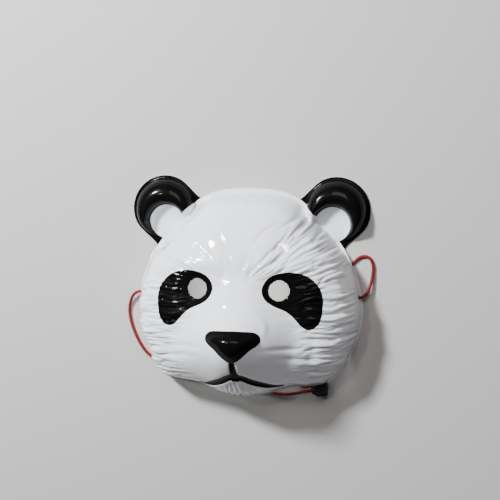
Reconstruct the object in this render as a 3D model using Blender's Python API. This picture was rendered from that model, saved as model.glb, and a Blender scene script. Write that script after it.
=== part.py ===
"""Panda half-face mask of thin vacuum-formed plastic, lying face up on its rim, with its elastic cord.

X runs across the face, Y from the chin to the forehead, Z is up, the way the face looks.
Face places are measured from the temple line, where the cord holes are; every piece is then
moved by FACE_SHIFT, which puts the middle of the whole outline on the origin.
"""
import math

import bmesh
import bpy
import numpy as np
from mathutils import Matrix, Vector

MM = 0.001

# Sheet and outline
SHEET = 1.2 * MM                # wall of the formed plastic
HALF_WIDTH = 99.2 * MM          # face at its widest, just below the temples
HEAD_TOP = 92.6 * MM            # temple line to the top of the forehead
CHIN_DROP = 86.8 * MM           # temple line to the bottom of the chin
TOP_FLANGE = 3.0 * MM           # flat trim round the ears and forehead
SIDE_FLANGE = 0.9 * MM          # flat trim down the temples and jaw
FLANGE_START = 34.0 * MM        # above this height the trim has its full width
CHIN_ARCH = 17.0 * MM           # how far the rim is lifted at the chin
ARCH_START = 44.0 * MM          # below the temple line by this much the rim starts to lift
ARCH_RUN = 36.0 * MM            # and it is fully lifted this much lower
TEMPLE_ARCH = 5.0 * MM          # small lift of the rim between the cord hole and the ear
TEMPLE_ARCH_Y = 30.0 * MM
TEMPLE_ARCH_HALF = 13.0 * MM
FLANGE_RUN = 8.0 * MM           # height over which the trim widens
WALL_SLOPE = 4.2                # rise over run of the side wall
FOREHEAD_SLOPE = 3.4            # the same at the top of the forehead
CHIN_WALL_SLOPE = 8.0           # the same at the chin
LOW_START = 45.0 * MM           # below the temple line by this much the wall grows steeper
LOW_RUN = 35.0 * MM             # and it is steepest this much lower
HIGH_START = 15.0 * MM          # above the temple line by this much the forehead flattens
HIGH_RUN = 60.0 * MM
SHOULDER = 12.0 * MM            # height over which the wall rounds into the dome
CREASE_WIDTH = 2.0 * MM         # height over which ear and head round into each other

# Dome of the head, muzzle and their soft forms
DOME_HEIGHT = 57.0 * MM
DOME_ROUNDNESS = 0.32           # power of the dome's fall towards the cheeks and chin
FOREHEAD_ROUNDNESS = 0.50       # the same towards the top of the forehead
SNOUT_RISE = 18.0 * MM          # bulge that carries the nose
SNOUT_RADIUS = 50.0 * MM
SNOUT_Y = -27.0 * MM
POUCH_RISE = 14.0 * MM          # wide bulge of the upper lip
POUCH_HALF_WIDTH = 64.0 * MM
POUCH_HALF_LENGTH = 46.0 * MM
POUCH_Y = -50.0 * MM
SOCKET_DEPTH = 3.0 * MM
SOCKET_RADIUS = 15.0 * MM
BROW_RISE = 1.6 * MM            # ridge over each eye, between two places
BROW_REACH = 7.0 * MM
BROW_INNER_X = 20.0 * MM
BROW_INNER_Y = 30.0 * MM
BROW_OUTER_X = 60.0 * MM
BROW_OUTER_Y = 32.0 * MM
FROWN_DEPTH = 2.0 * MM          # crease that rises from between the eyes
FROWN_WIDTH = 7.0 * MM
FROWN_LOW_X = 13.0 * MM
FROWN_LOW_Y = 20.0 * MM
FROWN_HIGH_X = 43.0 * MM
FROWN_HIGH_Y = 58.0 * MM
CHEEK_RISE = 2.5 * MM
CHEEK_RADIUS = 22.0 * MM
CHEEK_X = 70.0 * MM
CHEEK_Y = -34.0 * MM

# Eyes
EYE_X = 34.4 * MM
EYE_Y = 10.0 * MM
EYE_HOLE = 17.0 * MM            # diameter of the see-through hole

# Nose, line below it and mouth
NOSE_HALF_WIDTH = 23.2 * MM
NOSE_TOP_Y = -20.4 * MM
NOSE_LENGTH = 26.2 * MM
NOSE_RISE = 5.0 * MM
NOSE_SHOULDER = 5.0 * MM
MOUTH_Y = -59.5 * MM
MOUTH_HALF_WIDTH = 35.5 * MM
MOUTH_LINE = 3.8 * MM           # width of the black line
MOUTH_DEPTH = 1.4 * MM
LIP_DEPTH = 3.4 * MM            # how far the chin starts behind the upper lip
LIP_EDGE = 2.4 * MM             # height over which it steps back
LIP_REACH = 9.0 * MM            # and over which it comes forward again
LIP_FADE = 9.0 * MM             # length over which the step dies away at the mouth's corners
CHIN_RISE = 3.2 * MM            # round of the chin
CHIN_Y = -76.0 * MM
CHIN_HALF_WIDTH = 17.0 * MM
CHIN_HALF_HEIGHT = 7.0 * MM

# Ears
EAR_X = 75.2 * MM
EAR_Y = 73.4 * MM
EAR_RADIUS = 29.2 * MM
EAR_ROLL = 12.0 * MM            # rise of the padded roll
BOWL_X = 72.5 * MM
BOWL_Y = 62.0 * MM
BOWL_RADIUS = 16.0 * MM
BOWL_EDGE = 7.0 * MM            # height of the bowl's lip above the trim
BOWL_FLOOR = 2.5 * MM

# Cord, its holes, knots and cap
CORD_DIAMETER = 2.6 * MM
CORD_HOLE = 3.6 * MM
HOLE_HEIGHT = 5.4 * MM          # hole's middle above the table
WALL_INSIDE = 0.989 * HALF_WIDTH - SIDE_FLANGE - (HOLE_HEIGHT - SHEET) / WALL_SLOPE - 1.1 * SHEET
KNOT_DIAMETER = 6.4 * MM
CAP_DIAMETER = 14.6 * MM
CAP_LENGTH = 13.4 * MM
CAP_NECK = 9.0 * MM             # diameter where the cord goes in
CAP_FLARE = 5.0 * MM            # length over which the neck widens
CAP_RIBS = 20
CAP_RIB_DEPTH = 0.7 * MM
CAP_BEVEL = 1.2 * MM
CAP_X = 62.9 * MM
CAP_Y = -79.3 * MM
CAP_TURN = 8.0                  # degrees, the way that its flat face looks
GAP = 0.3 * MM                  # clearance between touching pieces

# Mesh
GRID = 3.75 * MM                # spacing of the shell's net
FACE_SHIFT = Vector((0, -(EAR_Y + EAR_RADIUS - CHIN_DROP) / 2, 0))

# Half of the head's outline from forehead to chin: share of HALF_WIDTH, share of HEAD_TOP or CHIN_DROP
HEAD_OUTLINE = (
    (0.000, 1.000), (0.242, 0.978), (0.433, 0.902), (0.575, 0.761), (0.721, 0.600), (0.847, 0.416),
    (0.917, 0.259), (0.963, 0.130), (0.989, 0.000), (1.000, -0.138), (0.986, -0.300), (0.938, -0.490),
    (0.845, -0.690), (0.736, -0.812), (0.605, -0.860), (0.444, -0.882), (0.325, -0.914), (0.185, -0.974),
    (0.000, -1.000),
)

# Half of the nose from its top to its tip: share of NOSE_HALF_WIDTH, share of NOSE_LENGTH downwards
NOSE_OUTLINE = (
    (0.00, 0.00), (0.40, 0.015), (0.76, 0.05), (0.95, 0.17), (0.985, 0.33), (0.86, 0.47),
    (0.64, 0.60), (0.40, 0.80), (0.17, 0.96), (0.00, 1.00),
)

# Eye patch, clockwise from its top: shares of EYE_HOLE across and up from the eye hole's middle
PATCH_OUTLINE = (
    (0.47, 0.89), (1.03, 0.81), (1.53, 0.56), (1.90, 0.15), (2.07, -0.32), (2.08, -0.85), (2.02, -1.34),
    (1.87, -1.67), (1.62, -1.85), (1.35, -1.88), (1.09, -1.72), (0.82, -1.41), (0.53, -1.13), (0.24, -0.94),
    (-0.24, -0.72), (-0.62, -0.44), (-0.81, -0.06), (-0.75, 0.29), (-0.47, 0.64), (-0.03, 0.82),
)

# Half of the mouth line: share of MOUTH_HALF_WIDTH, drop below MOUTH_Y as a share of it
MOUTH_PATH = ((0.00, 0.00), (0.18, 0.06), (0.37, 0.175), (0.65, 0.30), (0.85, 0.345), (1.00, 0.335))

# Routes of the two free strands, in millimetres from the temple line: across, up the face, height
LEFT_ROUTE = (
    (-95.0, 0.0, 5.4), (-99.0, -0.3, 5.4), (-103.6, -3.2, 4.5), (-107.0, -9.8, 2.6), (-108.3, -18.0, 1.5),
    (-106.8, -28.0, 1.36), (-103.0, -38.5, 1.36), (-98.0, -48.0, 1.36), (-91.5, -56.0, 1.36),
    (-83.0, -61.0, 1.36), (-66.0, -65.0, 1.36), (-44.0, -68.5, 1.36), (-22.0, -73.0, 1.36),
    (-4.0, -78.5, 1.36), (10.0, -83.2, 1.4), (22.0, -86.4, 1.8), (34.0, -86.8, 3.0), (44.5, -84.8, 4.9),
    (51.0, -82.7, 6.6), (56.0, -81.8, 7.35),
)
RIGHT_ROUTE = (
    (95.0, 0.0, 5.4), (99.0, 0.7, 5.4), (102.8, 4.4, 5.0), (105.4, 11.5, 3.4), (106.8, 19.5, 2.0),
    (107.0, 27.5, 1.45), (103.6, 34.2, 1.36), (97.0, 34.8, 1.36), (91.0, 30.2, 1.36), (84.5, 22.5, 1.36),
    (76.0, 9.0, 1.36), (69.0, -9.0, 1.36), (62.5, -28.0, 1.36), (54.5, -46.0, 1.36), (46.5, -60.5, 1.36),
    (42.6, -69.5, 1.9), (44.0, -76.0, 3.8), (49.2, -78.9, 6.3), (55.5, -78.4, 7.35),
)


def smooth_step(t):
    """0 below 0, 1 above 1, and an even S between."""
    t = np.clip(t, 0.0, 1.0)
    return t * t * (3 - 2 * t)


def soft_max(a, b, width):
    """The larger of two heights, rounded where they cross."""
    h = np.maximum(width - np.abs(a - b), 0.0) / width
    return np.maximum(a, b) + h * h * width / 4


def soft_min(a, b, width):
    return -soft_max(-a, -b, width)


def through(points, steps, closed=False):
    """Catmull-Rom curve through points, with steps per span."""
    pts = np.array(points, float)
    n = len(pts)
    if closed:
        pts = np.vstack([pts[-1], pts, pts[0], pts[1]])
    else:
        pts = np.vstack([2 * pts[0] - pts[1], pts, 2 * pts[-1] - pts[-2]])
    spans = n if closed else n - 1
    out = []
    for i in range(spans):
        a, b, c, d = pts[i:i + 4]
        for t in np.arange(steps) / steps:
            out.append(0.5 * (2 * b + (c - a) * t + (2 * a - 5 * b + 4 * c - d) * t ** 2
                              + (3 * b - 3 * c + d - a) * t ** 3))
    if not closed:
        out.append(pts[-2])
    return np.array(out)


def mirrored(half):
    """Closed outline from a half that starts and ends on the middle line."""
    other = half[1:-1][::-1].copy()
    other[:, 0] *= -1
    return np.vstack([half, other])


def nearest(x, y, loop):
    """Distance from each place to a closed outline, positive inside, and the nearest place on it."""
    p = np.stack([x, y], axis=-1)[:, None, :]
    a = loop[None, :, :]
    b = np.roll(loop, -1, axis=0)[None, :, :]
    ab = b - a
    t = np.clip(((p - a) * ab).sum(-1) / (ab * ab).sum(-1), 0.0, 1.0)
    foot = a + ab * t[..., None]
    gap = np.hypot(*np.moveaxis(p - foot, -1, 0))
    k = gap.argmin(axis=1)
    rows = np.arange(len(x))
    crosses = ((a[..., 1] > p[..., 1]) != (b[..., 1] > p[..., 1]))
    rise = np.where(ab[..., 1] == 0, 1.0, ab[..., 1])
    left = p[..., 0] < a[..., 0] + ab[..., 0] * (p[..., 1] - a[..., 1]) / rise
    inside = (crosses & left).sum(axis=1) % 2 == 1
    return np.where(inside, 1.0, -1.0) * gap[rows, k], foot[rows, k]


def to_segment(x, y, start, end):
    """Distance to a straight line between two places, and how far along it lies, from 0 to 1."""
    ax, ay = start
    dx, dy = end[0] - ax, end[1] - ay
    t = np.clip(((x - ax) * dx + (y - ay) * dy) / (dx * dx + dy * dy), 0.0, 1.0)
    return np.hypot(x - ax - t * dx, y - ay - t * dy), t


def head_loop():
    half = [(s * HALF_WIDTH, t * (HEAD_TOP if t > 0 else CHIN_DROP)) for s, t in HEAD_OUTLINE]
    return mirrored(through(half, 6))


def rim_loop(head):
    """Outline of the whole mask, as the farther of head and ear in each direction, with soft corners."""
    turns = np.radians(np.arange(0.0, 360.0, 1.0))
    along = np.stack([np.sin(turns), np.cos(turns)], axis=-1)
    reach = reach_towards(*along.T, head)
    for side in (-1, 1):
        middle = along @ np.array([side * EAR_X, EAR_Y])
        off = EAR_RADIUS ** 2 - (EAR_X ** 2 + EAR_Y ** 2 - middle ** 2)
        far = middle + np.sqrt(np.maximum(off, 0))
        reach = np.where((off > 0) & (middle > 0), np.maximum(reach, far), reach)
    for _ in range(2):
        reach = (np.roll(reach, 1) + 2 * reach + np.roll(reach, -1)) / 4
    return along * reach[:, None]


def nose_loop():
    half = [(s * NOSE_HALF_WIDTH, NOSE_TOP_Y - t * NOSE_LENGTH) for s, t in NOSE_OUTLINE]
    return mirrored(through(half, 4))


def patch_loop():
    return through([(EYE_X + s * EYE_HOLE, EYE_Y + t * EYE_HOLE) for s, t in PATCH_OUTLINE], 3, closed=True)


def mouth_path():
    pts = [(s * MOUTH_HALF_WIDTH, MOUTH_Y - t * MOUTH_HALF_WIDTH) for s, t in MOUTH_PATH]
    return through(pts, 4)


def mouth_distance(x, y):
    """Distance to the mouth line and the upright line that joins it to the nose."""
    gap, _ = to_segment(x, y, (0.0, NOSE_TOP_Y - NOSE_LENGTH), (0.0, MOUTH_Y))
    path = mouth_path()
    for a, b in zip(path, path[1:]):
        gap = np.minimum(gap, to_segment(np.abs(x), y, a, b)[0])
    return gap


def rim_lift(y):
    """Height of the rim's underside above the table."""
    temple = np.clip(1 - ((y - TEMPLE_ARCH_Y) / TEMPLE_ARCH_HALF) ** 2, 0.0, 1.0)
    return CHIN_ARCH * smooth_step((-y - ARCH_START) / ARCH_RUN) + TEMPLE_ARCH * temple ** 2


def flange_width(y):
    return SIDE_FLANGE + (TOP_FLANGE - SIDE_FLANGE) * smooth_step((y - FLANGE_START) / FLANGE_RUN)


def face_relief(x, y):
    """Soft forms of the face above the plain dome."""
    ax = np.abs(x)
    snout = np.clip(1 - (x ** 2 + (y - SNOUT_Y) ** 2) / SNOUT_RADIUS ** 2, 0.0, 1.0)
    pouch = np.clip(1 - (x / POUCH_HALF_WIDTH) ** 2 - ((y - POUCH_Y) / POUCH_HALF_LENGTH) ** 2, 0.0, 1.0)
    z = SNOUT_RISE * snout ** 1.8 + POUCH_RISE * pouch ** 1.6
    z -= SOCKET_DEPTH * np.exp(-((ax - EYE_X) ** 2 + (y - EYE_Y) ** 2) / SOCKET_RADIUS ** 2)
    z += CHEEK_RISE * np.exp(-((ax - CHEEK_X) ** 2 + (y - CHEEK_Y) ** 2) / CHEEK_RADIUS ** 2)
    brow, _ = to_segment(ax, y, (BROW_INNER_X, BROW_INNER_Y), (BROW_OUTER_X, BROW_OUTER_Y))
    z += BROW_RISE * np.exp(-(brow / BROW_REACH) ** 2)
    frown, along = to_segment(ax, y, (FROWN_LOW_X, FROWN_LOW_Y), (FROWN_HIGH_X, FROWN_HIGH_Y))
    z -= FROWN_DEPTH * np.exp(-(frown / (FROWN_WIDTH / 2)) ** 2) * smooth_step(3 - 3 * along)
    nose, _ = nearest(x, y, nose_loop())
    z += NOSE_RISE * np.sqrt(smooth_step(nose / NOSE_SHOULDER))
    z -= MOUTH_DEPTH * np.exp(-(mouth_distance(x, y) / (MOUTH_LINE / 2)) ** 2) * (nose < 0)
    path = mouth_path()
    below = np.interp(ax, path[:, 0], path[:, 1]) - y
    step = smooth_step(below / LIP_EDGE) * np.exp(-np.maximum(below, 0.0) / LIP_REACH)
    z -= LIP_DEPTH * step * smooth_step((MOUTH_HALF_WIDTH - ax) / LIP_FADE)
    z += CHIN_RISE * np.exp(-(x / CHIN_HALF_WIDTH) ** 2 - ((y - CHIN_Y) / CHIN_HALF_HEIGHT) ** 2)
    return z


def reach_towards(x, y, head):
    """How far the head's outline lies from the temple line's middle, in the direction of each place."""
    turns = np.arctan2(head[:, 0], head[:, 1])
    order = np.argsort(turns)
    return np.interp(np.arctan2(x, y), turns[order], np.hypot(*head[order].T), period=math.tau)


def head_height(x, y, head):
    inset, _ = nearest(x, y, head)
    share = np.hypot(x, y) / reach_towards(x, y, head)
    low = smooth_step((-y - LOW_START) / LOW_RUN)
    high = smooth_step((y - HIGH_START) / HIGH_RUN)
    roundness = DOME_ROUNDNESS + (FOREHEAD_ROUNDNESS - DOME_ROUNDNESS) * high
    dome = DOME_HEIGHT * np.maximum(1 - share ** 2, 0.0) ** roundness
    slope = WALL_SLOPE + (CHIN_WALL_SLOPE - WALL_SLOPE) * low + (FOREHEAD_SLOPE - WALL_SLOPE) * high
    wall = rim_lift(y) + slope * (inset - flange_width(y))
    return soft_min(wall, dome + face_relief(x, y), SHOULDER)


def ear_height(x, y):
    """Padded roll round a round bowl; very low outside the ear."""
    ax = np.abs(x)
    outer = EAR_RADIUS - np.hypot(ax - EAR_X, y - EAR_Y) - flange_width(y)
    inner = np.hypot(ax - BOWL_X, y - BOWL_Y)
    past = np.maximum(inner - BOWL_RADIUS, 0.0)
    share = np.clip(outer, 0.0, None) / np.maximum(np.clip(outer, 0.0, None) + past, 1e-6)
    roll = EAR_ROLL * (4 * share * (1 - share)) ** 0.6 + BOWL_EDGE * share ** 2
    bowl = BOWL_FLOOR + (BOWL_EDGE - BOWL_FLOOR) * (inner / BOWL_RADIUS) ** 4
    z = np.where(inner < BOWL_RADIUS, bowl, roll)
    return np.where(outer > 0, z, -1.0)


def outer_height(x, y, head):
    """Height of the shell's outer face."""
    z = soft_max(head_height(x, y, head), ear_height(x, y), CREASE_WIDTH)
    return SHEET + np.maximum(z, rim_lift(y))


def material(name, colour, roughness, metallic=0.0):
    """One Principled material."""
    mat = bpy.data.materials.new(name)
    mat.use_nodes = True
    shader = mat.node_tree.nodes["Principled BSDF"]
    shader.inputs["Base Color"].default_value = (*colour, 1.0)
    shader.inputs["Roughness"].default_value = roughness
    shader.inputs["Metallic"].default_value = metallic
    mat.diffuse_color = (*colour, 1.0)
    return mat


def place(name, mesh, collection, mats, location=(0, 0, 0)):
    """New object for a mesh, moved with the face."""
    obj = bpy.data.objects.new(name, mesh)
    obj.location = Vector(location) + FACE_SHIFT
    for mat in mats:
        mesh.materials.append(mat)
    collection.objects.link(obj)
    return obj


def net_rows(inset, width):
    """Moves the net's rows near an edge onto the edge, the foot of the wall and the wall's middle."""
    level = inset / GRID
    level = np.where(level < 2.5, np.maximum(np.round(level), 0.0), level)
    stops = np.array([0.0, 1.0, 2.0, 3.0, 5.0])
    table = np.stack([0 * width, width, width + 2.4 * MM, 0 * width + 2.8 * GRID, 0 * width + 5 * GRID])
    low = np.clip(np.searchsorted(stops, level, side="right") - 1, 0, 3)
    t = np.clip((level - stops[low]) / (stops[low + 1] - stops[low]), 0.0, 1.0)
    cols = np.arange(len(level))
    moved = table[low, cols] * (1 - t) + table[low + 1, cols] * t
    return np.where(level < 5.0, moved, inset), level


def towards(x, y, foot, inset, target, chosen):
    """Slides the chosen places along their nearest-edge line until they lie target inside the edge."""
    run = np.maximum(np.abs(inset), 1e-9) * np.where(inset >= 0, 1, -1)
    ux, uy = (x - foot[:, 0]) / run, (y - foot[:, 1]) / run
    return np.where(chosen, foot[:, 0] + ux * target, x), np.where(chosen, foot[:, 1] + uy * target, y)


def fit_circle(x, y, cx, cy, radius, allowed):
    """Moves the places that lie within half a spacing of a pair of mirrored circles onto them."""
    side = np.where(x < 0, -1.0, 1.0)
    ex, ey = np.abs(x) - cx, y - cy
    gap = np.maximum(np.hypot(ex, ey), 1e-9)
    chosen = allowed & (np.abs(gap - radius) <= GRID / 2)
    pull = np.where(chosen, radius / gap, 1.0)
    return np.where(chosen, side * (cx + ex * pull), x), np.where(chosen, cy + ey * pull, y)


def shell_mesh():
    """Formed sheet: a net laid over the outline, fitted to its edges and creases, and raised."""
    head = head_loop()
    rim = rim_loop(head)
    across = 2 * math.ceil((EAR_X + EAR_RADIUS + GRID) / GRID)
    up = math.ceil((EAR_Y + EAR_RADIUS + CHIN_DROP + 2 * GRID) / GRID)
    middle = (EAR_Y + EAR_RADIUS - CHIN_DROP) / 2
    bm = bmesh.new()
    scale = Matrix.Diagonal((across * GRID / 2, up * GRID / 2, 1, 1))
    bmesh.ops.create_grid(bm, x_segments=across, y_segments=up, size=1.0,
                          matrix=Matrix.Translation((0, middle, 0)) @ scale)
    verts = list(bm.verts)
    x = np.array([v.co.x for v in verts])
    y = np.array([v.co.y for v in verts])

    inset, foot = nearest(x, y, rim)
    head_inset, head_foot = nearest(x, y, head)
    by_ear = (inset - head_inset > GRID) & (inset > 1.5 * GRID)
    in_bowl_ring = by_ear & (head_inset < -GRID / 2)
    target, level = net_rows(inset, flange_width(foot[:, 1]))
    x, y = towards(x, y, foot, inset, target, level < 5.0)
    crease, crease_level = net_rows(head_inset, np.zeros_like(x))
    crease = np.where(crease_level >= 1, crease + 1.2 * MM * (crease_level < 2), crease)
    at_crease = by_ear & (head_inset >= -GRID / 2) & (crease_level < 2.5)
    x, y = towards(x, y, head_foot, head_inset, crease, at_crease)
    x, y = fit_circle(x, y, BOWL_X, BOWL_Y, BOWL_RADIUS, in_bowl_ring)
    eye_gap = np.hypot(np.abs(x) - EYE_X, y - EYE_Y) - EYE_HOLE / 2
    x, y = fit_circle(x, y, EYE_X, EYE_Y, EYE_HOLE / 2, eye_gap < GRID)
    z = outer_height(x, y, head)
    kept = {}
    for v, px, py, pz, lev, eye in zip(verts, x, y, z, level, eye_gap):
        v.co = (px, py, pz)
        kept[v] = lev >= 1 and eye > GRID / 2
    for v, eye in zip(verts, eye_gap):
        if -1.5 * GRID < eye < -GRID / 2:
            side = -1 if v.co.x < 0 else 1
            ex, ey = abs(v.co.x) - EYE_X, v.co.y - EYE_Y
            pull = EYE_HOLE / 2 / max(math.hypot(ex, ey), 1e-9)
            v.co.x, v.co.y = side * (EYE_X + ex * pull), EYE_Y + ey * pull
    dead = [f for f in bm.faces if not any(kept[v] for v in f.verts)]
    bmesh.ops.delete(bm, geom=dead, context="FACES")
    bmesh.ops.delete(bm, geom=[v for v in bm.verts if not v.link_faces], context="VERTS")
    bmesh.ops.remove_doubles(bm, verts=bm.verts[:], dist=0.1 * MM)
    bm.normal_update()
    if sum(f.normal.z for f in bm.faces) < 0:
        bmesh.ops.reverse_faces(bm, faces=bm.faces[:])
    outside = set(bm.verts)
    bmesh.ops.solidify(bm, geom=bm.faces[:], thickness=SHEET)
    for v in set(bm.verts) - outside:
        lift = float(rim_lift(v.co.y))
        if v.co.z < lift + SHEET / 2:
            v.co.z = lift
    bmesh.ops.recalc_face_normals(bm, faces=bm.faces[:])
    mesh = bpy.data.meshes.new("mask_shell")
    bm.to_mesh(mesh)
    bm.free()
    return mesh


def paint(mesh):
    """Gives the ears, eye patches, nose and mouth the second material."""
    c = np.array([p.center for p in mesh.polygons])
    x, y = c[:, 0], c[:, 1]
    ax = np.abs(x)
    head = head_loop()
    in_ear = (nearest(ax, y, head)[0] < 0) & (np.hypot(ax - BOWL_X, y - BOWL_Y) > BOWL_RADIUS)
    in_patch = nearest(ax, y, patch_loop())[0] > 0
    in_nose = nearest(x, y, nose_loop())[0] > 0
    in_mouth = mouth_distance(x, y) < MOUTH_LINE / 2
    outside = np.array([p.normal.z for p in mesh.polygons]) > 0
    black = outside & (in_ear & (y > FLANGE_START) | in_patch | in_nose | in_mouth)
    for poly, dark in zip(mesh.polygons, black):
        poly.material_index = int(dark)
        poly.use_smooth = True


def hole_cutter(side, collection):
    """Short cylinder through the temple wall."""
    bpy.ops.mesh.primitive_cylinder_add(vertices=12, radius=CORD_HOLE / 2, depth=14 * MM)
    cutter = bpy.context.object
    cutter.name = "cord_hole_cutter_" + ("left" if side < 0 else "right")
    cutter.rotation_euler = (0, math.pi / 2, 0)
    cutter.location = Vector((side * (HALF_WIDTH - 3 * MM), 0, HOLE_HEIGHT)) + FACE_SHIFT
    cutter.hide_render = True
    cutter.display_type = "WIRE"
    for group in cutter.users_collection:
        group.objects.unlink(cutter)
    collection.objects.link(cutter)
    return cutter


def build_shell(parts, cutters, mats):
    mesh = shell_mesh()
    shell = place("mask_shell", mesh, parts, mats)
    paint(mesh)
    for side in (-1, 1):
        cut = shell.modifiers.new("cord_hole", "BOOLEAN")
        cut.operation = "DIFFERENCE"
        cut.solver = "EXACT"
        cut.object = hole_cutter(side, cutters)
    return shell


def build_cord(name, route, parts, mat):
    """Round elastic cord through a short list of places."""
    curve = bpy.data.curves.new(name, "CURVE")
    curve.dimensions = "3D"
    curve.bevel_depth = CORD_DIAMETER / 2
    curve.bevel_resolution = 2
    curve.use_fill_caps = True
    fine = through(np.array(route) * MM, 24)
    run = np.concatenate([[0.0], np.cumsum(np.linalg.norm(np.diff(fine, axis=0), axis=1))])
    count = int(run[-1] / (2.6 * CORD_DIAMETER)) + 1
    at = np.linspace(0.0, run[-1], count)
    pts = np.stack([np.interp(at, run, fine[:, k]) for k in range(3)], axis=-1)
    spline = curve.splines.new("POLY")
    spline.points.add(count - 1)
    for point, co in zip(spline.points, pts):
        point.co = (*co, 1.0)
    obj = bpy.data.objects.new(name, curve)
    obj.location = FACE_SHIFT
    curve.materials.append(mat)
    parts.objects.link(obj)
    return obj


def build_knot(name, side, parts, mat):
    """Knot that stops the cord inside the wall."""
    bpy.ops.mesh.primitive_uv_sphere_add(segments=12, ring_count=8, radius=KNOT_DIAMETER / 2)
    obj = bpy.context.object
    obj.name = name
    obj.data.name = name
    obj.location = Vector((side * (WALL_INSIDE - GAP - KNOT_DIAMETER / 2), 0, HOLE_HEIGHT)) + FACE_SHIFT
    for group in obj.users_collection:
        group.objects.unlink(obj)
    parts.objects.link(obj)
    obj.data.materials.append(mat)
    obj.data.shade_smooth()
    return obj


def build_cap(parts, mat):
    """Ribbed cap with a narrower neck that holds both ends of the cord, lying on its ribs."""
    bm = bmesh.new()
    bmesh.ops.create_cone(bm, cap_ends=True, segments=2 * CAP_RIBS, radius1=CAP_DIAMETER / 2,
                          radius2=CAP_DIAMETER / 2, depth=CAP_LENGTH)
    ring = sorted((v for v in bm.verts), key=lambda v: (v.co.z > 0, math.atan2(v.co.y, v.co.x)))
    for i, v in enumerate(ring):
        if i % 2:
            shrink = 1 - CAP_RIB_DEPTH / (CAP_DIAMETER / 2)
            v.co.x *= shrink
            v.co.y *= shrink
    neck_end = -CAP_LENGTH / 2
    bmesh.ops.bisect_plane(bm, geom=bm.verts[:] + bm.edges[:] + bm.faces[:],
                           plane_co=(0, 0, neck_end + CAP_FLARE), plane_no=(0, 0, 1))
    for v in bm.verts:
        if v.co.z < neck_end + CAP_FLARE / 2:
            v.co.x *= CAP_NECK / CAP_DIAMETER
            v.co.y *= CAP_NECK / CAP_DIAMETER
    bm.normal_update()
    ends = [f for f in bm.faces if abs(f.normal.z) > 0.9]
    rims = list({e for f in ends for e in f.edges})
    bmesh.ops.bevel(bm, geom=rims, offset=CAP_BEVEL, segments=2, affect="EDGES", profile=0.5)
    mesh = bpy.data.meshes.new("cord_cap")
    bm.to_mesh(mesh)
    bm.free()
    obj = place("cord_cap", mesh, parts, [mat], (CAP_X, CAP_Y, CAP_DIAMETER / 2 + 0.02 * MM))
    obj.rotation_euler = (0, math.pi / 2, math.radians(CAP_TURN))
    mesh.shade_smooth()
    mesh.set_sharp_from_angle(angle=math.radians(40))
    return obj


def main():
    for obj in list(bpy.data.objects):
        bpy.data.objects.remove(obj, do_unlink=True)
    parts = bpy.data.collections.new("panda_mask")
    cutters = bpy.data.collections.new("cutters")
    bpy.context.scene.collection.children.link(parts)
    bpy.context.scene.collection.children.link(cutters)
    white = material("white_plastic", (0.83, 0.84, 0.86), 0.22)
    black = material("black_paint", (0.012, 0.012, 0.013), 0.18)
    red = material("red_elastic", (0.5, 0.012, 0.02), 0.65)
    dark = material("black_cap_plastic", (0.02, 0.02, 0.021), 0.4)
    build_shell(parts, cutters, [white, black])
    build_cord("cord_left", LEFT_ROUTE, parts, red)
    build_cord("cord_right", RIGHT_ROUTE, parts, red)
    build_knot("knot_left", -1, parts, red)
    build_knot("knot_right", 1, parts, red)
    build_cap(parts, dark)


main()
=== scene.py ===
"""Panda face mask of thin formed plastic: glossy painted sheet, red elastic cord and ribbed cap.

X runs across the face, Y from the chin to the forehead, Z is up, the way the face looks. Face places
are measured in millimetres from the temple line, where the cord holes are.
"""

import math

import bmesh
import bpy
import numpy as np
from bpy.props import FloatProperty, FloatVectorProperty, IntProperty, PointerProperty
from mathutils import Matrix, Vector, noise


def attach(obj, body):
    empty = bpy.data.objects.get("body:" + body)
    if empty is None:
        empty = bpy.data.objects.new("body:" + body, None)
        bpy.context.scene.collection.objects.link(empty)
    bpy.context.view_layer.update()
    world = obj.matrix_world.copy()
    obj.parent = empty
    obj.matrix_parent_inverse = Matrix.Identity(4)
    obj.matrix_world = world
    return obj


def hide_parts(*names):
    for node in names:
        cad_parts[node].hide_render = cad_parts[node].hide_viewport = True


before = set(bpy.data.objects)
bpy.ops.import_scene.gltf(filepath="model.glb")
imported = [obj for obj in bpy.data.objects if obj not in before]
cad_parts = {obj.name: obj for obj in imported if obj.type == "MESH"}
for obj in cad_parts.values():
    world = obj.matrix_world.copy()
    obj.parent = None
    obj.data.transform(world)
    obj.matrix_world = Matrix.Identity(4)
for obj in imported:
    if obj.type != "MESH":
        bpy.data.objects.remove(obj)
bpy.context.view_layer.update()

bl_info = {
    "name": "Panda mask",
    "version": (1, 0, 0),
    "blender": (4, 5, 0),
    "location": "View3D > Sidebar > Panda mask",
    "description": "Builds a painted panda mask with its elastic cord, and the stage it lies on",
    "category": "Add Mesh",
}

MM = 0.001

# Outline and sheet, in millimetres
HALF_WIDTH = 99.2
HEAD_TOP = 92.6
CHIN_DROP = 86.8
TOP_FLANGE = 3.0
SIDE_FLANGE = 0.9
FLANGE_START = 34.0
FLANGE_FADE = 8.0
CHIN_ARCH = 17.0
ARCH_START = 44.0
ARCH_RUN = 36.0
TEMPLE_ARCH = 5.0
TEMPLE_ARCH_Y = 30.0
TEMPLE_ARCH_HALF = 13.0
WALL_SLOPE = 4.2
FOREHEAD_SLOPE = 3.4
CHIN_WALL_SLOPE = 8.0
SHOULDER = 12.0
EDGE_RUN = 14.0
EDGE_SQUEEZE = 1.5

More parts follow.
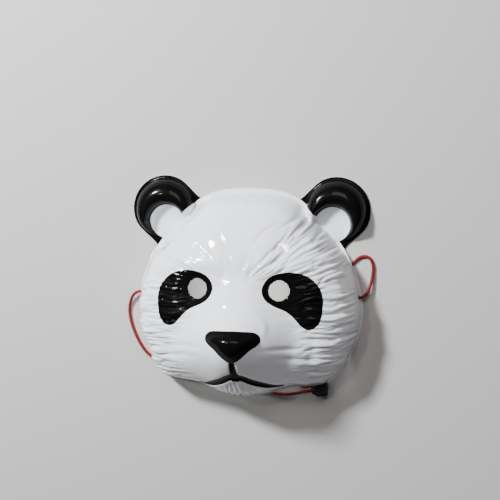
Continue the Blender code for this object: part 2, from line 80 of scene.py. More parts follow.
# Dome and the soft forms on it
DOME_HEIGHT = 57.0
DOME_ROUNDNESS = 0.32
FOREHEAD_ROUNDNESS = 0.50
SNOUT_RISE = 18.0
SNOUT_RADIUS = 50.0
SNOUT_Y = -27.0
SNOUT_FULLNESS = 1.8
POUCH_RISE = 14.0
POUCH_HALF_WIDTH = 64.0
POUCH_HALF_LENGTH = 46.0
POUCH_Y = -50.0
POUCH_FULLNESS = 1.6
SOCKET_DEPTH = 3.0
SOCKET_RADIUS = 15.0
BROW_RISE = 1.6
BROW_FROM = (20.0, 30.0)
BROW_TO = (60.0, 32.0)
BROW_WIDTH = 7.0
CHEEK_RISE = 2.5
CHEEK_RADIUS = 22.0
CHEEK_X = 70.0
CHEEK_Y = -34.0
EYE_X = 34.4
EYE_Y = 10.0
EYE_HOLE = 17.0
NOSE_HALF_WIDTH = 23.2
NOSE_TOP_Y = -20.4
NOSE_LENGTH = 26.2
NOSE_RISE = 5.0
NOSE_SHOULDER = 8.5
NOSE_FULLNESS = 0.7
MOUTH_Y = -60.4
MOUTH_HALF_WIDTH = 35.5
MOUTH_LINE = 6.2
MOUTH_DEPTH = 1.9
MOUTH_GROOVE = 1.7
MOUTH_THINNING = 0.7
THINNING_START = 0.4
PHILTRUM = 4.4
PHILTRUM_SPREAD = 1.3
PHILTRUM_FOOT = 2.2
LIP_START = 2.8
LIP_DEPTH = 1.6
LIP_EDGE = 3.0
LIP_ROLL = 1.2
LIP_ROLL_AT = 4.5
LIP_ROLL_WIDTH = 1.3
LIP_REACH = 9.0
LIP_FADE = 9.0
LIP_PAST_CORNER = 3.0
CHIN_RISE = 3.2
CHIN_Y = -76.0
CHIN_HALF_WIDTH = 17.0
CHIN_HALF_HEIGHT = 7.0
EAR_X = 75.2
EAR_Y = 73.4
EAR_RADIUS = 29.2
EAR_ROLL = 12.0
ROLL_FULLNESS = 0.6
ROLL_TAPER = 10.0
BOWL_X = 72.5
BOWL_Y = 62.0
BOWL_RADIUS = 16.0
BOWL_EDGE = 7.0
BOWL_FLOOR = 1.3
BOWL_STEEPNESS = 3.0
BOWL_LEAN = 1.6
PAINT_OVERLAP = 0.9

# Cord, knots and cap
HOLE_HEIGHT = 5.4
CORD_HOLE = 3.6
CUTTER_LENGTH = 14.0
CUTTER_INSET = 3.0
KNOT_X = 91.4
KNOT_SIZE = 0.78
KNOT_STRETCH = 0.94
CORD_SPACING = 0.65
CAP_X = 62.9
CAP_Y = -79.3
CAP_TURN = 8.0
CAP_CLEARANCE = 0.02
RIB_ROUNDNESS = 1.6

# Camera: degrees aside of the face, above it and of roll, the picture's middle, distance and scale
CAMERA_ASIDE = 10.5
CAMERA_ABOVE = 5.0
CAMERA_ROLL = -0.4
CAMERA_AIM = (0.1, 38.3)
CAMERA_DISTANCE = 950.0
SENSOR = 36.0
PICTURE_WIDTH = 500
PIXEL = 0.87

# From places on the face to the frame's
FACE_SHIFT = (0.0, -(EAR_Y + EAR_RADIUS - CHIN_DROP) / 2, 0.0)

# Half of the head's outline from forehead to chin: share of HALF_WIDTH, share of HEAD_TOP or CHIN_DROP
HEAD_OUTLINE = (
    (0.000, 1.000), (0.242, 0.978), (0.433, 0.902), (0.575, 0.761), (0.721, 0.600), (0.847, 0.416),
    (0.917, 0.259), (0.963, 0.130), (0.989, 0.000), (1.000, -0.138), (0.986, -0.300), (0.938, -0.490),
    (0.845, -0.690), (0.736, -0.812), (0.605, -0.860), (0.444, -0.882), (0.325, -0.914), (0.185, -0.974),
    (0.000, -1.000),
)

# Half of the nose from its top to its tip: share of NOSE_HALF_WIDTH, share of NOSE_LENGTH downwards
NOSE_OUTLINE = (
    (0.00, 0.00), (0.40, 0.015), (0.76, 0.05), (0.95, 0.17), (0.985, 0.33), (0.86, 0.47),
    (0.64, 0.60), (0.40, 0.80), (0.17, 0.96), (0.00, 1.00),
)

# Eye patch, clockwise from its top: shares of EYE_HOLE across and up from the eye hole's middle
PATCH_OUTLINE = (
    (0.47, 0.89), (1.03, 0.81), (1.53, 0.56), (1.90, 0.15), (2.07, -0.32), (2.08, -0.85), (2.02, -1.34),
    (1.87, -1.67), (1.62, -1.85), (1.35, -1.88), (1.09, -1.72), (0.82, -1.41), (0.53, -1.13), (0.24, -0.94),
    (-0.24, -0.72), (-0.62, -0.44), (-0.81, -0.06), (-0.75, 0.29), (-0.47, 0.64), (-0.03, 0.82),
)

# Half of the mouth line: share of MOUTH_HALF_WIDTH, drop below MOUTH_Y as a share of it
MOUTH_PATH = ((0.00, 0.00), (0.18, 0.06), (0.37, 0.175), (0.65, 0.30), (0.85, 0.345), (1.00, 0.335))

# Routes of the two free strands: across, up the face, height
LEFT_ROUTE = (
    (-95.0, 0.0, 5.4), (-99.0, -0.3, 5.4), (-103.6, -3.2, 4.5), (-107.0, -9.8, 2.6), (-108.3, -18.0, 1.5),
    (-106.8, -28.0, 1.36), (-103.0, -38.5, 1.36), (-98.0, -48.0, 1.36), (-91.5, -56.0, 1.36),
    (-83.0, -61.0, 1.36), (-66.0, -65.0, 1.36), (-44.0, -68.5, 1.36), (-22.0, -73.0, 1.36),
    (-4.0, -78.5, 1.36), (10.0, -83.2, 1.4), (22.0, -86.4, 1.8), (34.0, -86.8, 3.0), (44.5, -84.8, 4.9),
    (51.0, -82.7, 6.6), (56.0, -81.8, 7.35),
)
RIGHT_ROUTE = (
    (95.0, 0.0, 5.4), (99.0, 0.7, 5.4), (102.8, 4.4, 5.0), (105.4, 11.5, 3.4), (106.8, 19.5, 2.0),
    (107.0, 27.5, 1.45), (103.6, 34.2, 1.36), (97.0, 34.8, 1.36), (91.0, 30.2, 1.36), (84.5, 22.5, 1.36),
    (76.0, 9.0, 1.36), (69.0, -9.0, 1.36), (62.5, -28.0, 1.36), (54.5, -46.0, 1.36), (46.5, -60.5, 1.36),
    (42.6, -69.5, 1.9), (44.0, -76.0, 3.8), (49.2, -78.9, 6.3), (55.5, -78.4, 7.35),
)

# Where the fur parts: from this place the strands spread over the forehead, and run sideways below it
FUR_ORIGIN_Y = 8.0
FUR_LOW_RADIUS = 62.0
FUR_TURNS = 15.0
FUR_LENGTH = 31.0

# How deep the fur is: share in plain places, what the cheeks add, and the bare muzzle and parting
FUR_PLAIN = 0.72
FUR_ON_CHEEKS = 0.33
FUR_SWAY = 17.0
MUZZLE_Y = -40.0
MUZZLE_BARE = 34.0
MUZZLE_FADE = 30.0
PARTING_HALF = 9.0
PARTING_FROM_Y = 20.0
PARTING_SPREAD = 0.72
EYE_BARE = 1.5
EYE_FADE = 9.0
LEFT_CREASES = 0.6
TUFT_DEPTH = 1.9
TUFT_HALF_WIDTH = 14.0
TUFT_BELOW_MOUTH = 4.0
TUFT_LOBE = 4.9

# Single creases of the right half, mirrored: depth, half width and places; ridges have a negative depth
CREASES = (
    (1.5, 1.7, ((9.5, 20.0), (12.4, 26.0), (30.8, 44.7), (48.0, 60.7))),
    (1.5, 1.7, ((7.0, 16.0), (20.0, 26.5), (29.2, 33.4), (42.4, 44.8), (51.0, 49.4))),
    (0.8, 1.6, ((13.5, 53.0), (23.6, 60.1), (32.0, 64.5))),
    (0.9, 1.5, ((26.6, 57.5), (39.7, 64.5), (46.1, 68.4))),
    (0.5, 1.8, ((2.4, 24.0), (9.9, 42.0))),
    (0.5, 1.8, ((8.0, 21.4), (14.8, 35.9))),
    (0.7, 2.0, ((8.8, 44.6), (20.5, 56.2))),
    (-0.9, 1.8, ((55.4, 35.2), (66.0, 36.5), (76.8, 40.7))),
    (-0.8, 2.4, ((10.8, -4.1), (23.8, -15.3), (25.4, -25.5))),
    (0.8, 4.0, ((63.0, -28.0), (61.0, -44.0), (57.0, -58.0))),
    (0.9, 2.0, ((24.0, -37.0), (45.0, -37.5), (70.0, -41.0))),
    (0.9, 2.0, ((32.0, -46.0), (50.0, -46.5), (70.0, -50.0))),
    (0.8, 2.0, ((50.0, -30.0), (66.0, -30.5), (84.0, -33.0))),
)

# Tiny dark marks in the white: across, up the face, radius
SPECKS = ((-83.0, 47.0, 0.35), (-80.0, 46.0, 0.3), (-86.0, 36.0, 0.35), (-33.0, 69.0, 0.35))

# Half of the soft edge of the paint
PAINT_EDGE = 0.12

# The knot's ends on both sides of its loops: towards the wall, up the face, height
KNOT_NECK = ((3.4, 0.0, 0.0), (2.5, 0.2, 0.3))
KNOT_TAIL = ((-1.6, -1.8, 1.6), (-4.2, -2.4, 1.2), (-6.4, -2.7, 0.6))


def smooth_step(t):
    """0 below 0, 1 above 1, and an even S between."""
    t = np.clip(t, 0.0, 1.0)
    return t * t * (3 - 2 * t)


def soft_max(a, b, width):
    """The larger of two heights, rounded where they cross."""
    h = np.maximum(width - np.abs(a - b), 0.0) / width
    return np.maximum(a, b) + h * h * width / 4


def soft_min(a, b, width):
    return -soft_max(-a, -b, width)


def through(points, steps, closed=False):
    """Catmull-Rom curve through points, with steps per span."""
    pts = np.array(points, float)
    n = len(pts)
    if closed:
        pts = np.vstack([pts[-1], pts, pts[0], pts[1]])
    else:
        pts = np.vstack([2 * pts[0] - pts[1], pts, 2 * pts[-1] - pts[-2]])
    out = []
    for i in range(n if closed else n - 1):
        a, b, c, d = pts[i:i + 4]
        for t in np.arange(steps) / steps:
            out.append(0.5 * (2 * b + (c - a) * t + (2 * a - 5 * b + 4 * c - d) * t ** 2
                              + (3 * b - 3 * c + d - a) * t ** 3))
    if not closed:
        out.append(pts[-2])
    return np.array(out)


def run_along(points):
    """How far along a line each of its points lies."""
    spans = np.linalg.norm(np.diff(points, axis=0), axis=1)
    return np.concatenate([[0.0], np.cumsum(spans)])


def evenly(points, spacing):
    """The same line with its points an equal distance apart, and how far along each lies."""
    run = run_along(points)
    at = np.linspace(0.0, run[-1], int(run[-1] / spacing) + 1)
    return np.stack([np.interp(at, run, points[:, k]) for k in range(3)], axis=-1), at


def mirrored(half):
    """Closed outline from a half that starts and ends on the middle line."""
    other = half[1:-1][::-1].copy()
    other[:, 0] *= -1
    return np.vstack([half, other])


def nearest(x, y, loop):
    """Distance from each place to a closed outline, positive inside, and the nearest place on it."""
    a = loop[None, :, :]
    b = np.roll(loop, -1, axis=0)[None, :, :]
    ab = b - a
    square = (ab * ab).sum(-1)
    rise = np.where(ab[..., 1] == 0, 1.0, ab[..., 1])
    gaps = np.empty(len(x))
    feet = np.empty((len(x), 2))
    for start in range(0, len(x), 4096):
        part = slice(start, start + 4096)
        p = np.stack([x[part], y[part]], axis=-1)[:, None, :]
        t = np.clip(((p - a) * ab).sum(-1) / square, 0.0, 1.0)
        foot = a + ab * t[..., None]
        gap = np.hypot(p[..., 0] - foot[..., 0], p[..., 1] - foot[..., 1])
        k = gap.argmin(axis=1)
        rows = np.arange(len(k))
        crosses = (a[..., 1] > p[..., 1]) != (b[..., 1] > p[..., 1])
        left = p[..., 0] < a[..., 0] + ab[..., 0] * (p[..., 1] - a[..., 1]) / rise
        inside = (crosses & left).sum(axis=1) % 2 == 1
        gaps[part] = np.where(inside, 1.0, -1.0) * gap[rows, k]
        feet[part] = foot[rows, k]
    return gaps, feet


def to_segment(x, y, start, end):
    """Distance to a straight line between two places, and how far along it lies, from 0 to 1."""
    ax, ay = start
    dx, dy = end[0] - ax, end[1] - ay
    t = np.clip(((x - ax) * dx + (y - ay) * dy) / (dx * dx + dy * dy), 0.0, 1.0)
    return np.hypot(x - ax - t * dx, y - ay - t * dy), t


def head_loop():
    half = [(s * HALF_WIDTH, t * (HEAD_TOP if t > 0 else CHIN_DROP)) for s, t in HEAD_OUTLINE]
    return mirrored(through(half, 6))


def rim_loop(head):
    """Outline of the whole mask, as the farther of head and ear in each direction, with soft corners."""
    turns = np.radians(np.arange(0.0, 360.0, 1.0))
    along = np.stack([np.sin(turns), np.cos(turns)], axis=-1)
    reach = reach_towards(*along.T, head)
    for side in (-1, 1):
        middle = along @ np.array([side * EAR_X, EAR_Y])
        off = EAR_RADIUS ** 2 - (EAR_X ** 2 + EAR_Y ** 2 - middle ** 2)
        far = middle + np.sqrt(np.maximum(off, 0))
        reach = np.where((off > 0) & (middle > 0), np.maximum(reach, far), reach)
    for _ in range(2):
        reach = (np.roll(reach, 1) + 2 * reach + np.roll(reach, -1)) / 4
    return along * reach[:, None]


def nose_loop():
    half = [(s * NOSE_HALF_WIDTH, NOSE_TOP_Y - t * NOSE_LENGTH) for s, t in NOSE_OUTLINE]
    return mirrored(through(half, 6))


def patch_loop():
    return through([(EYE_X + s * EYE_HOLE, EYE_Y + t * EYE_HOLE) for s, t in PATCH_OUTLINE], 5, closed=True)


def mouth_path():
    return through([(s * MOUTH_HALF_WIDTH, MOUTH_Y - t * MOUTH_HALF_WIDTH) for s, t in MOUTH_PATH], 5)


def mouth_distance(x, y):
    """How far inside the black line of the mouth, or of the upright line above it, each place lies."""
    gap, along = to_segment(x, y, (0.0, NOSE_TOP_Y - NOSE_LENGTH), (0.0, MOUTH_Y))
    foot = PHILTRUM_FOOT * smooth_step(4 * along - 3)
    inside = PHILTRUM / 2 + PHILTRUM_SPREAD * along + foot - gap
    path = mouth_path()
    for i, (a, b) in enumerate(zip(path, path[1:])):
        reach, _ = to_segment(np.abs(x), y, a, b)
        past = (i / (len(path) - 2) - THINNING_START) / (1 - THINNING_START)
        taper = 1 - MOUTH_THINNING * smooth_step(past)
        inside = np.maximum(inside, MOUTH_LINE / 2 * taper - reach)
    return inside


def below_mouth(x, y):
    """How far below the mouth's line each place lies; negative above it."""
    path = mouth_path()
    return np.interp(np.abs(x), path[:, 0], path[:, 1]) - y


def past_eye_hole(x, y):
    """Distance from the edge of the nearer eye hole; negative inside it."""
    return np.hypot(np.abs(x) - EYE_X, y - EYE_Y) - EYE_HOLE / 2


def rim_lift(y):
    """Height of the rim's underside above the table."""
    temple = np.clip(1 - ((y - TEMPLE_ARCH_Y) / TEMPLE_ARCH_HALF) ** 2, 0.0, 1.0)
    return CHIN_ARCH * smooth_step((-y - ARCH_START) / ARCH_RUN) + TEMPLE_ARCH * temple ** 2


def flange_width(y):
    return SIDE_FLANGE + (TOP_FLANGE - SIDE_FLANGE) * smooth_step((y - FLANGE_START) / FLANGE_FADE)


def face_relief(x, y):
    """Soft forms of the face above the plain dome."""
    ax = np.abs(x)
    snout = np.clip(1 - (x ** 2 + (y - SNOUT_Y) ** 2) / SNOUT_RADIUS ** 2, 0.0, 1.0)
    pouch = np.clip(1 - (x / POUCH_HALF_WIDTH) ** 2 - ((y - POUCH_Y) / POUCH_HALF_LENGTH) ** 2, 0.0, 1.0)
    z = SNOUT_RISE * snout ** SNOUT_FULLNESS + POUCH_RISE * pouch ** POUCH_FULLNESS
    z -= SOCKET_DEPTH * np.exp(-((ax - EYE_X) ** 2 + (y - EYE_Y) ** 2) / SOCKET_RADIUS ** 2)
    z += CHEEK_RISE * np.exp(-((ax - CHEEK_X) ** 2 + (y - CHEEK_Y) ** 2) / CHEEK_RADIUS ** 2)
    brow, _ = to_segment(ax, y, BROW_FROM, BROW_TO)
    z += BROW_RISE * np.exp(-(brow / BROW_WIDTH) ** 2)
    nose, _ = nearest(x, y, nose_loop())
    z += NOSE_RISE * smooth_step(nose / NOSE_SHOULDER) ** NOSE_FULLNESS
    off_line = np.minimum(mouth_distance(x, y) - PHILTRUM / 2, 0)
    z -= MOUTH_DEPTH * np.exp(-(off_line / MOUTH_GROOVE) ** 2) * (nose < 0)
    below = below_mouth(x, y) - LIP_START
    step = smooth_step(below / LIP_EDGE) * np.exp(-np.maximum(below, 0.0) / LIP_REACH)
    roll = np.exp(-((below + LIP_START - LIP_ROLL_AT) / LIP_ROLL_WIDTH) ** 2)
    corner = smooth_step((MOUTH_HALF_WIDTH + LIP_PAST_CORNER - ax) / LIP_FADE)
    z += (LIP_ROLL * roll - LIP_DEPTH * step) * corner
    z += CHIN_RISE * np.exp(-(x / CHIN_HALF_WIDTH) ** 2 - ((y - CHIN_Y) / CHIN_HALF_HEIGHT) ** 2)
    return z


def fur_flow(x, y):
    """Place of each point in the fur: across the strands and along them."""
    up = np.maximum(y - FUR_ORIGIN_Y, 0.0)
    down = np.maximum(FUR_ORIGIN_Y - y, 0.0)
    turn = np.arctan2(np.abs(x), np.maximum(up, 1e-6)) + down / FUR_LOW_RADIUS
    return np.where(x < 0, -1.0, 1.0) * turn * FUR_TURNS, np.hypot(x, up) / FUR_LENGTH


def fur_strength(x, y, height):
    """How deep the fur is moulded at each place, from 0 to about 1; height is that above the rim."""
    ax = np.abs(x)
    strength = FUR_PLAIN + FUR_ON_CHEEKS * smooth_step((ax - 40) / 24) * smooth_step((50 - y) / 26)
    muzzle = np.hypot(x / 1.15, y - MUZZLE_Y)
    strength *= smooth_step((muzzle - MUZZLE_BARE) / MUZZLE_FADE)
    wedge = ax - PARTING_HALF - PARTING_SPREAD * np.maximum(y - PARTING_FROM_Y, 0.0)
    strength *= np.where(y > 0, smooth_step((wedge + 4) / 14), 1.0)
    strength *= smooth_step((past_eye_hole(x, y) - EYE_BARE) / EYE_FADE)
    strength *= 1 + 0.4 * smooth_step((y - 15) / 12) * np.where(x < 0, -0.3, 1.0)
    strength *= smooth_step((height - 3) / 7) * (1 - 0.6 * smooth_step((y - 60) / 20))
    band = smooth_step((26 - height) / 8) * smooth_step((y + 30) / 12) * smooth_step((30 - y) / 10)
    return strength * (1 - 0.85 * band * smooth_step((ax - 80) / 6))


def noise_at(across, along, lift):
    """Smooth noise from -1 to 1 at each place."""
    return np.array([noise.noise((a, b, lift)) for a, b in zip(across.tolist(), along.tolist())])


def crease_cut(ax, y, places):
    """Distance to a crease, and how deep it is along its run, from 0 at its ends to 1."""
    path = through(places, 4)
    gap = np.full(len(ax), 1e9)
    share = np.zeros(len(ax))
    for i, (a, b) in enumerate(zip(path, path[1:])):
        reach, t = to_segment(ax, y, a, b)
        share = np.where(reach < gap, (i + t) / (len(path) - 1), share)
        gap = np.minimum(gap, reach)
    return gap, np.sin(math.pi * (0.06 + 0.88 * share))


def fur_relief(x, y, height, depth):
    """Strands of moulded fur: rounded locks with narrow valleys, single creases and the chin's tuft."""
    across, along = fur_flow(x, y)
    sway = noise_at(x / FUR_SWAY, y / FUR_SWAY, 3.1)
    slant = across + 0.45 * along + 0.6 * sway
    locks = np.abs(noise_at(slant, along - 0.17 * across + 0.5 * sway, 0.0)) ** 0.7
    wisps = np.abs(noise_at(2.1 * slant, 1.5 * along + 0.2 * across, 7.7)) ** 0.8
    folds = noise_at(0.45 * slant, 0.4 * along + 0.05 * across, 9.2)
    strength = fur_strength(x, y, height)
    low = smooth_step((20 - y) / 40)
    z = depth * strength * (1.5 * locks + 0.55 * wisps - 0.9 + 1.1 * folds * low)
    ax = np.abs(x)
    for deep, half, places in CREASES:
        gap, share = crease_cut(ax, y, places)
        z -= deep * share * np.exp(-(gap / half) ** 2) * np.where(x < 0, LEFT_CREASES, 1.0)
    below = smooth_step((below_mouth(x, y) - TUFT_BELOW_MOUTH) / 3)
    chin = np.exp(-(x / TUFT_HALF_WIDTH) ** 4) * below * smooth_step((height - 2) / 5)
    lobes = np.abs(np.sin(math.pi * (x / TUFT_LOBE + 0.5 * noise_at(x / 9, y / 8, 5.5)))) ** 0.75
    return z + TUFT_DEPTH * chin * (lobes + 0.5 * noise_at(x / 2.4, y / 9, 6.6) - 0.5)


def reach_towards(x, y, head):
    """How far the head's outline lies from the temple line's middle, in the direction of each place."""
    turns = np.arctan2(head[:, 0], head[:, 1])
    order = np.argsort(turns)
    return np.interp(np.arctan2(x, y), turns[order], np.hypot(*head[order].T), period=math.tau)


def head_height(x, y, head):
    inset, _ = nearest(x, y, head)
    share = np.hypot(x, y) / reach_towards(x, y, head)
    low = smooth_step((-y - 45) / 35)
    high = smooth_step((y - 15) / 60)
    roundness = DOME_ROUNDNESS + (FOREHEAD_ROUNDNESS - DOME_ROUNDNESS) * high
    dome = DOME_HEIGHT * np.maximum(1 - share ** 2, 0.0) ** roundness
    slope = WALL_SLOPE + (CHIN_WALL_SLOPE - WALL_SLOPE) * low + (FOREHEAD_SLOPE - WALL_SLOPE) * high
    wall = rim_lift(y) + slope * (inset - flange_width(y))
    return soft_min(wall, dome + face_relief(x, y), SHOULDER)


def ear_height(x, y):
    """Padded roll round a round bowl; very low outside the ear."""
    ax = np.abs(x)
    outer = EAR_RADIUS - np.hypot(ax - EAR_X, y - EAR_Y) - flange_width(y)
    inner = np.hypot(ax - BOWL_X, y - BOWL_Y)
    past = np.maximum(inner - BOWL_RADIUS, 0.0)
    share = np.clip(outer, 0.0, None) / np.maximum(np.clip(outer, 0.0, None) + past, 1e-6)
    full = np.clip((outer + inner - BOWL_RADIUS) / ROLL_TAPER, 0.0, 1.0)
    roll = EAR_ROLL * full * (4 * share * (1 - share)) ** ROLL_FULLNESS
    roll += BOWL_EDGE * full * share ** 2
    steep = BOWL_STEEPNESS + BOWL_LEAN * (ax - BOWL_X) / BOWL_RADIUS
    bowl = BOWL_FLOOR + (BOWL_EDGE * full - BOWL_FLOOR) * (inner / BOWL_RADIUS) ** steep
    z = np.where(inner < BOWL_RADIUS, bowl, roll)
    return np.where(outer > 0, z, -1.0)


def outer_height(x, y, head, sheet):
    """Height of the shell's outer face."""
    z = soft_max(head_height(x, y, head), ear_height(x, y), 2.0)
    return sheet + np.maximum(z, rim_lift(y))


def squeezed(inset):
    """Moves rows towards an edge, so that more of them climb the steep wall beside it."""
    share = np.clip(inset, 0.0, EDGE_RUN) / EDGE_RUN
    return np.where(inset < EDGE_RUN, EDGE_RUN * share ** EDGE_SQUEEZE, inset)


def slide(x, y, foot, inset, target, chosen):
    """Slides the chosen places along their nearest-edge line until they lie target inside the edge."""
    run = np.maximum(np.abs(inset), 1e-9) * np.where(inset >= 0, 1, -1)
    ux, uy = (x - foot[:, 0]) / run, (y - foot[:, 1]) / run
    return np.where(chosen, foot[:, 0] + ux * target, x), np.where(chosen, foot[:, 1] + uy * target, y)


def fit_circle(x, y, cx, cy, radius, grid, allowed):
    """Moves the places within half a spacing of a pair of mirrored circles onto them."""
    side = np.where(x < 0, -1.0, 1.0)
    ex, ey = np.abs(x) - cx, y - cy
    gap = np.maximum(np.hypot(ex, ey), 1e-9)
    pull = np.where(allowed & (np.abs(gap - radius) <= grid / 2), radius / gap, 1.0)
    return np.where(pull != 1, side * (cx + ex * pull), x), np.where(pull != 1, cy + ey * pull, y)


def shell_net(grid):
    """Flat net over the mask's outline, fitted to its edges and creases: places and faces."""
    head = head_loop()
    rim = rim_loop(head)
    wide = math.ceil((EAR_X + EAR_RADIUS + grid) / grid)
    low = -math.ceil((CHIN_DROP + grid) / grid)
    high = math.ceil((EAR_Y + EAR_RADIUS + grid) / grid)
    cols, rows = np.meshgrid(np.arange(-wide, wide + 1), np.arange(low, high + 1))
    x, y = cols.ravel() * grid, rows.ravel() * grid
    inset, foot = nearest(x, y, rim)
    head_inset, head_foot = nearest(x, y, head)
    eye_gap = past_eye_hole(x, y)
    kept = (inset > grid / 2) & (eye_gap > grid / 2)
    in_head = head_inset > 0
    share = np.minimum(flange_width(foot[:, 1]), EDGE_RUN) / EDGE_RUN
    at_width = EDGE_RUN * share ** (1 / EDGE_SQUEEZE)
    level = np.where(inset < grid / 2, 0.0, inset)
    level = np.where((np.abs(inset - at_width) < grid / 2) & (inset > grid / 2), at_width, level)
    by_rim = ~in_head | (inset - head_inset < 0.3)
    x1, y1 = slide(x, y, foot, inset, squeezed(level), by_rim & (level < EDGE_RUN))
    crease = np.where(np.abs(head_inset) < grid / 2, 0.0, head_inset)
    beside_ear = by_rim & (np.abs(head_inset) < grid / 2) & (inset > 2)
    at_crease = ~by_rim & (head_inset < EDGE_RUN) | beside_ear
    x, y = slide(x, y, head_foot, head_inset, squeezed(np.maximum(crease, 0)), at_crease)
    x, y = np.where(at_crease, x, x1), np.where(at_crease, y, y1)
    x, y = fit_circle(x, y, BOWL_X, BOWL_Y, BOWL_RADIUS, grid, head_inset < -grid / 2)
    x, y = fit_circle(x, y, EYE_X, EYE_Y, EYE_HOLE / 2, grid, eye_gap < grid)
    index = np.arange(len(x)).reshape(-1, 2 * wide + 1)
    quads = np.stack([index[:-1, :-1], index[:-1, 1:], index[1:, 1:], index[1:, :-1]], axis=-1)
    quads = quads.reshape(-1, 4)
    quads = quads[kept[quads].any(axis=1)]
    used = np.unique(quads)
    again = np.zeros(len(x), int)
    again[used] = np.arange(len(used))
    return x[used], y[used], again[quads], head


def add_mesh(name, points, faces):
    """Mesh object from places in millimetres, measured like the face, and faces; linked to the scene."""
    mesh = bpy.data.meshes.new(name)
    places = (np.asarray(points, float) + FACE_SHIFT) * MM
    mesh.from_pydata(places.tolist(), [], [list(map(int, f)) for f in faces])
    mesh.update()
    mesh.polygons.foreach_set("use_smooth", [True] * len(mesh.polygons))
    obj = bpy.data.objects.new(name, mesh)
    bpy.context.scene.collection.objects.link(obj)
    return obj


def drop(obj):
    """Removes an object and its mesh."""
    mesh = obj.data
    bpy.data.objects.remove(obj, do_unlink=True)
    bpy.data.meshes.remove(mesh)


def applied(obj):
    """Replaces the object's mesh by the one its modifiers give."""
    graph = bpy.context.evaluated_depsgraph_get()
    made = bpy.data.meshes.new_from_object(obj.evaluated_get(graph))
    old = obj.data
    obj.modifiers.clear()
    obj.data = made
    bpy.data.meshes.remove(old)


def vectors(items, name):
    """A vector of each vertex or face, such as its place or its normal, one in each row."""
    values = np.empty(3 * len(items))
    items.foreach_get(name, values)
    return values.reshape(-1, 3)


def edge_order(face, first):
    """Place of a face in its mesh's list; those of the cut edge, from first on, go by where they are."""
    if face.index < first:
        return face.index
    middle = face.calc_center_median()
    return first + 1e6 * (1 + middle.x) + middle.y


def put_attribute(mesh, name, values):
    layer = mesh.attributes.new(name, "FLOAT", "POINT")
    layer.data.foreach_set("value", np.asarray(values, np.float32))


def ring_faces(rings, sides):
    """Faces between each ring of places and the next."""
    faces = []
    for i in range(rings - 1):
        for k in range(sides):
            a, b = i * sides + k, i * sides + (k + 1) % sides
            faces.append((a, b, b + sides, a + sides))
    return faces


def tube(name, path, radius, sides):
    """Round tube along a line of places, closed at its ends, with run and turn for the weave."""
    path = np.asarray(path, float)
    ahead = np.gradient(path, axis=0)
    ahead /= np.linalg.norm(ahead, axis=1)[:, None]
    side = np.cross(ahead[0], (0.0, 0.0, 1.0))
    turns = np.linspace(0, math.tau, sides, endpoint=False)
    points, run, turn = [], [], []
    gone = run_along(path)
    for i, (p, d) in enumerate(zip(path, ahead)):
        side = side - d * (side @ d)
        side /= np.linalg.norm(side)
        over = np.cross(d, side)
        points += [p + radius * (math.cos(t) * side + math.sin(t) * over) for t in turns]
        run += [gone[i]] * sides
        turn += turns.tolist()
    ends = [tuple(range(sides))[::-1], tuple(range((len(path) - 1) * sides, len(path) * sides))]
    obj = add_mesh(name, points, ends + ring_faces(len(path), sides))
    put_attribute(obj.data, "run", run)
    put_attribute(obj.data, "turn_sine", np.sin(turn))
    put_attribute(obj.data, "turn_cosine", np.cos(turn))
    return obj


class Link:
    """An output of a material's node; sums on it add Math nodes."""

    def __init__(self, graph, socket):
        self.graph = graph
        self.socket = socket

    def maths(self, operation, *values):
        return self.graph.node("ShaderNodeMath", {"operation": operation}, dict(enumerate(values)))

    def __add__(self, other):
        return self.maths("ADD", self, other)

    __radd__ = __add__

    def __sub__(self, other):
        return self.maths("SUBTRACT", self, other)

    def __rsub__(self, other):
        return self.maths("SUBTRACT", other, self)

    def __mul__(self, other):
        return self.maths("MULTIPLY", self, other)

    __rmul__ = __mul__

    def __abs__(self):
        return self.maths("ABSOLUTE", self)

    def largest(self, other):
        return self.maths("MAXIMUM", self, other)

    def sine(self):
        return self.maths("SINE", self)

    def angle(self, across):
        """Angle whose sine and cosine are this link and across."""
        return self.maths("ARCTAN2", self, across)

    def between(self, low, high):
        """0 below low, 1 above high, and a smooth rise from one to the other."""
        made = {"interpolation_type": "SMOOTHSTEP"}
        ends = {"Value": self, "From Min": low, "From Max": high}
        return self.graph.node("ShaderNodeMapRange", made, ends)


